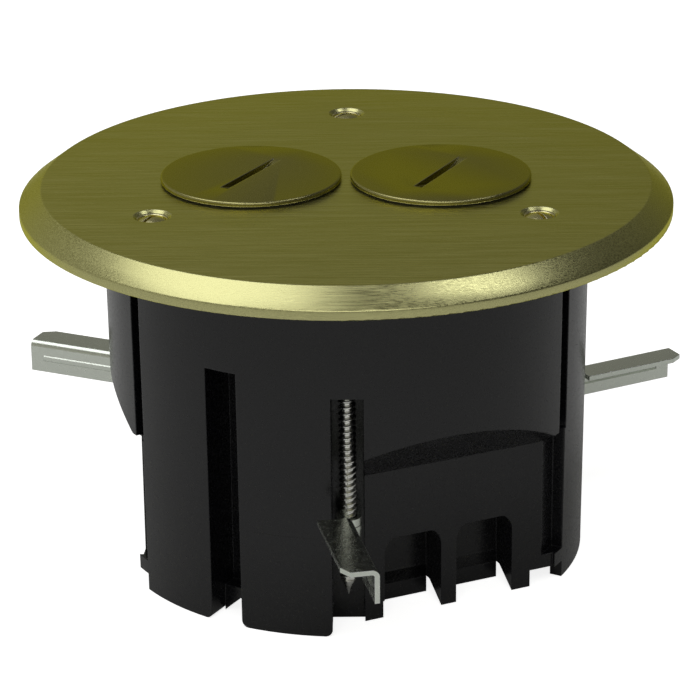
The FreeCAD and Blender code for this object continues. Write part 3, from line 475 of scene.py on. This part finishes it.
class FLOORBOX_OT_plugs(bpy.types.Operator):
    """Dress the two screw plugs, cut their threads, and dress their seals"""
    bl_idname = "floorbox.plugs"
    bl_label = "Screw plugs"

    def execute(self, context):
        cover, box = context.scene.floorbox_cover, context.scene.floorbox_box
        # the plugs' edge colour is a painted highlight along their rounded rims
        brass = finish("turned_brass", tuple(cover.plug_brass), 1.0, 0.27, spread=0.06, vary=0.14,
                       edge=cover.edge_round, edge_highlight=BRASS_EDGE_HIGHLIGHT, grain=6000.0, depth=0.0000012,
                       Specular_Tint=tuple(cover.glance) + (1,))
        rubber = finish("seal_rubber", tuple(box.rubber), 0.0, 0.6, grain=2500.0, depth=0.00002)
        for side in SIDES:
            low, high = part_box(f"plug_{side}")
            seal_low, seal_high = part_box(f"plug_seal_{side}")
            x, y = (low.x + high.x) / 2, (low.y + high.y) / 2
            shape = merged(f"plug_{side}")
            skirt = max(math.hypot(v.co.x - x, v.co.y - y) for v in shape.verts if v.co.z < low.z + NEAR)
            for v in shape.verts:
                out = Vector((v.co.x - x, v.co.y - y))
                if abs(out.length - skirt) < RIM_NEAR and v.co.z < seal_high.z + NEAR:
                    out *= (skirt - cover.thread_depth) / out.length
                    v.co.x, v.co.y = x + out.x, y + out.y
            add_thread(shape, x, y, low.z + cover.thread_pitch * 0.5, seal_low.z - cover.thread_pitch * 0.5,
                       skirt - cover.thread_depth, skirt, cover.thread_pitch, 96)
            stand(shape, f"brass_plug_{side}", f"plug_{side}", brass)
            seal = merged(f"plug_seal_{side}")
            stand(seal, f"rubber_seal_{side}", f"plug_seal_{side}", rubber)
        return {"FINISHED"}


class FLOORBOX_OT_cover_screws(bpy.types.Operator):
    """Dress the three slotted screws that hold the cover"""
    bl_idname = "floorbox.cover_screws"
    bl_label = "Cover screws"

    def execute(self, context):
        cover = context.scene.floorbox_cover
        # the screws' edge colour is a painted highlight along the heads' rounded edges
        brass = finish("screw_brass", tuple(cover.screw_brass), 1.0, 0.24, vary=0.06,
                       edge=cover.edge_round / 2, edge_highlight=(0.90, 0.84, 0.60), grain=4000.0, depth=0.000003,
                       Specular_Tint=tuple(cover.glance) + (1,))
        for name, turn in COVER_SCREWS.items():
            low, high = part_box(f"cover_screw_{name}")
            centre = Vector(((low.x + high.x) / 2, (low.y + high.y) / 2, 0))
            shape = merged(f"cover_screw_{name}")
            head = [v for v in shape.verts if v.co.z > PLATE_TOP - HEAD_DEPTH]
            bmesh.ops.translate(shape, verts=head, vec=(0, 0, -cover.head_sink))
            bmesh.ops.scale(shape, verts=head, vec=(cover.head_scale, cover.head_scale, 1),
                            space=Matrix.Translation(-centre))
            bmesh.ops.rotate(shape, verts=shape.verts, cent=centre,
                             matrix=Matrix.Rotation(math.radians(turn), 3, "Z"))
            stand(shape, f"oval_screw_{name}", f"cover_screw_{name}", brass, 40.0)
        return {"FINISHED"}


class FLOORBOX_OT_box(bpy.types.Operator):
    """Dress the moulded drop-in box"""
    bl_idname = "floorbox.box"
    bl_label = "Moulded box"

    def execute(self, context):
        box = context.scene.floorbox_box
        # the plastic's lighter edge colour is a painted highlight along the moulded edges
        plastic = finish("moulded_plastic", tuple(box.plastic), 0.0, box.roughness, spread=0.06, vary=0.25,
                         edge=box.edge_round, edge_highlight=(0.012, 0.012, 0.015), grain=1 / box.grain,
                         depth=0.000011, IOR=1.48)
        stand(merged("box_flange"), "moulded_flange", "box_flange", plastic)
        walls = merged("box_body", "box_base", meet=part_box("box_body")[0].z)
        drop_pins(walls)
        walls = open_entries(walls, box.entry_top, box.entry_depth, box.entry_back)
        stand(walls, "moulded_box", "box_body", plastic, also=("box_base",))
        return {"FINISHED"}


class FLOORBOX_OT_clamps(bpy.types.Operator):
    """Dress the swing arms, and cut the clamp screws' threads"""
    bl_idname = "floorbox.clamps"
    bl_label = "Clamps"

    def execute(self, context):
        clamp = context.scene.floorbox_clamp
        # the arms' paler edge colour is a painted highlight along the folded edges
        zinc = finish("plated_sheet", tuple(clamp.arm_plate), 1.0, 0.24, vary=0.08, edge=clamp.edge_round,
                      edge_highlight=(0.86, 0.88, 0.90), grain=900.0, depth=0.000006)
        silver = finish("plated_screw", tuple(clamp.screw_plate), 1.0, 0.22, vary=0.08, grain=2500.0,
                        depth=0.000004)
        for name in CLAMPS:
            node = f"clamp_screw_{name}"
            low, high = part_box(node)
            shape = merged(node)
            point = min(shape.verts, key=lambda v: v.co.z).co.copy()
            lower = [v.co for v in shape.verts if v.co.z < SCREW_HEAD_BELOW]
            shank = max(math.hypot(at.x - point.x, at.y - point.y) for at in lower)
            shoulder = max(at.z for at in lower)
            for v in shape.verts:
                out = Vector((v.co.x - point.x, v.co.y - point.y))
                if abs(out.length - shank) < SHANK_NEAR and v.co.z < SHANK_TOP:
                    out *= clamp.root / out.length
                    v.co.x, v.co.y = point.x + out.x, point.y + out.y
            thread = add_thread(shape, point.x, point.y, low.z + clamp.pitch * 0.8, THREAD_TOP,
                                clamp.root, shank, clamp.pitch)
            for v in thread:
                if v.co.z < shoulder:
                    taper = max((v.co.z - low.z) / (shoulder - low.z), THREAD_TAPER)
                    v.co.x = point.x + (v.co.x - point.x) * taper
                    v.co.y = point.y + (v.co.y - point.y) * taper
            stand(shape, f"threaded_screw_{name}", node, silver, 40.0)
            arm = merged(f"clamp_arm_{name}")
            emboss(arm, clamp.rib_start, clamp.rib_width, clamp.rib_depth)
            stand(arm, f"folded_arm_{name}", f"clamp_arm_{name}", zinc)
        return {"FINISHED"}


class FLOORBOX_OT_receptacle(bpy.types.Operator):
    """Dress the duplex receptacle under the plugs"""
    bl_idname = "floorbox.receptacle"
    bl_label = "Receptacle"

    def execute(self, context):
        made = context.scene.floorbox_receptacle
        face = finish("face_nylon", tuple(made.face), 0.0, 0.30, vary=0.03, edge=0.0003, grain=1800.0)
        base = finish("base_nylon", tuple(made.base), 0.0, 0.50, vary=0.04, edge=0.0003, grain=1400.0)
        strap = finish("yoke_steel", tuple(made.yoke), 1.0, 0.34, vary=0.08, edge=0.0002, grain=900.0)
        brass = finish("contact_brass", tuple(made.contact), 1.0, 0.28, vary=0.06, edge=0.0002,
                       grain=1600.0)
        green = finish("earth_green", tuple(made.earth), 0.7, 0.35, vary=0.08, edge=0.0002, grain=1600.0)
        silver = finish("terminal_zinc", (0.66, 0.67, 0.66), 1.0, 0.28, vary=0.06, edge=0.0002,
                        grain=1600.0)
        for node, slot, look in (
            ("receptacle_face", "face_nylon", face), ("receptacle_base", "base_nylon", base),
            ("receptacle_yoke", "yoke_steel", strap), ("neutral_contact", "contact_brass", brass),
            ("line_contact", "contact_brass", brass), ("line_terminal_screws", "contact_brass", brass),
            ("neutral_terminal_screws", "screw_zinc", silver), ("yoke_screws", "screw_zinc", silver),
            ("earth_screw", "earth_green", green),
        ):
            stand(merged(node), f"dressed_{node}", node, look)
        return {"FINISHED"}


def soft_light(name, place, target, size, power, tint=(1, 1, 1)):
    """An area light that faces a target."""
    data = bpy.data.lights.new(name, "AREA")
    data.shape, data.size, data.size_y, data.energy = "RECTANGLE", size[0], size[1], power
    data.color = tint
    made = bpy.data.objects.new(name, data)
    made.location = place
    made.rotation_euler = (Vector(target) - Vector(place)).to_track_quat("-Z", "Y").to_euler()
    bpy.context.scene.collection.objects.link(made)
    return made


class FLOORBOX_OT_stage(bpy.types.Operator):
    """Lay the plain floor and set the soft lights and the camera"""
    bl_idname = "floorbox.stage"
    bl_label = "Stage"

    def execute(self, context):
        scene, stage = context.scene, context.scene.floorbox_stage
        shape = bmesh.new()
        bmesh.ops.create_grid(shape, x_segments=2, y_segments=2, size=6.0)
        bmesh.ops.translate(shape, verts=shape.verts, vec=(0, 0, BOX_FLOOR - 0.0001))
        mesh = bpy.data.meshes.new("studio_floor")
        shape.to_mesh(mesh)
        shape.free()
        floor = bpy.data.objects.new("studio_floor", mesh)
        scene.collection.objects.link(floor)
        card = finish("floor_card", tuple(stage.floor), 0.0, 0.9, vary=0.005, grain=40.0, depth=0.0,
                      Emission_Color=(1, 1, 1, 1))
        path = add(card.node_tree, "ShaderNodeLightPath")
        seen = add(card.node_tree, "ShaderNodeMath", {0: path.outputs["Is Camera Ray"], 1: stage.glow},
                   operation="MULTIPLY")
        shader = next(n for n in card.node_tree.nodes if n.type == "BSDF_PRINCIPLED")
        card.node_tree.links.new(seen.outputs["Value"], shader.inputs["Emission Strength"])
        mesh.materials.append(card)
        centre = (0, 0, PLATE_TOP)
        soft_light("left_softbox", (-0.41, 0.05, 0.95), centre, (0.84, 0.7), stage.left_light, stage.lamp)
        soft_light("right_softbox", (0.44, 0.02, 0.95), centre, (0.24, 0.4), stage.right_light, stage.lamp)
        soft_light("front_softbox", (0, -1.2, 1.3), (0, -0.2, BOX_FLOOR), (1.4, 0.8), stage.front_light)
        world = bpy.data.worlds.new("studio_surround")
        world.use_nodes = True
        around = world.node_tree
        around.nodes["Background"].inputs["Color"].default_value = tuple(stage.surround) + (1,)
        way = add(around, "ShaderNodeTexCoord").outputs["Generated"]
        fall = add(around, "ShaderNodeVectorMath", {0: way, 1: tuple(stage.falloff)},
                   operation="DOT_PRODUCT")
        level = add(around, "ShaderNodeMath", {0: 1.2, 1: fall.outputs["Value"]}, operation="SUBTRACT")
        kept = add(around, "ShaderNodeMath", {0: level.outputs["Value"], 1: 0.2}, operation="MAXIMUM")
        around.links.new(kept.outputs["Value"], around.nodes["Background"].inputs["Strength"])
        scene.world = world
        data = bpy.data.cameras.new("studio_camera")
        data.sensor_width, data.lens, data.clip_start, data.clip_end = 36.0, stage.lens, 0.05, 20.0
        camera = bpy.data.objects.new("studio_camera", data)
        camera.location, camera.rotation_euler = stage.eye, stage.aim
        scene.collection.objects.link(camera)
        scene.camera = camera
        scene.view_settings.view_transform = "Standard"
        return {"FINISHED"}


OPERATORS = (
    FLOORBOX_OT_stage, FLOORBOX_OT_box, FLOORBOX_OT_cover, FLOORBOX_OT_plugs, FLOORBOX_OT_cover_screws,
    FLOORBOX_OT_clamps, FLOORBOX_OT_receptacle,
)
GROUPS = {
    "floorbox_cover": FLOORBOX_PG_cover,
    "floorbox_box": FLOORBOX_PG_box,
    "floorbox_clamp": FLOORBOX_PG_clamp,
    "floorbox_receptacle": FLOORBOX_PG_receptacle,
    "floorbox_stage": FLOORBOX_PG_stage,
}


class FLOORBOX_PT_panel(bpy.types.Panel):
    """Lists the floor box's pieces and values."""
    bl_idname = "FLOORBOX_PT_panel"
    bl_label = "Floor Box"
    bl_space_type = "VIEW_3D"
    bl_region_type = "UI"
    bl_category = "Floor Box"

    def draw(self, context):
        for kind in OPERATORS:
            self.layout.operator(kind.bl_idname)
        for name, group in GROUPS.items():
            held = self.layout.box()
            for key in group.__annotations__:
                held.prop(getattr(context.scene, name), key)


def register():
    for kind in (*GROUPS.values(), *OPERATORS, FLOORBOX_PT_panel):
        bpy.utils.register_class(kind)
    for name, group in GROUPS.items():
        setattr(bpy.types.Scene, name, bpy.props.PointerProperty(type=group))


def unregister():
    for name in GROUPS:
        delattr(bpy.types.Scene, name)
    for kind in (FLOORBOX_PT_panel, *reversed(OPERATORS), *GROUPS.values()):
        bpy.utils.unregister_class(kind)


def main():
    register()
    EFFECTS.update(edge=edge_effect(), grain=grain_effect(), brushing=brushing_effect())
    for kind in OPERATORS:
        group, name = kind.bl_idname.split(".")
        getattr(getattr(bpy.ops, group), name)()


if __name__ == "__main__":
    main()
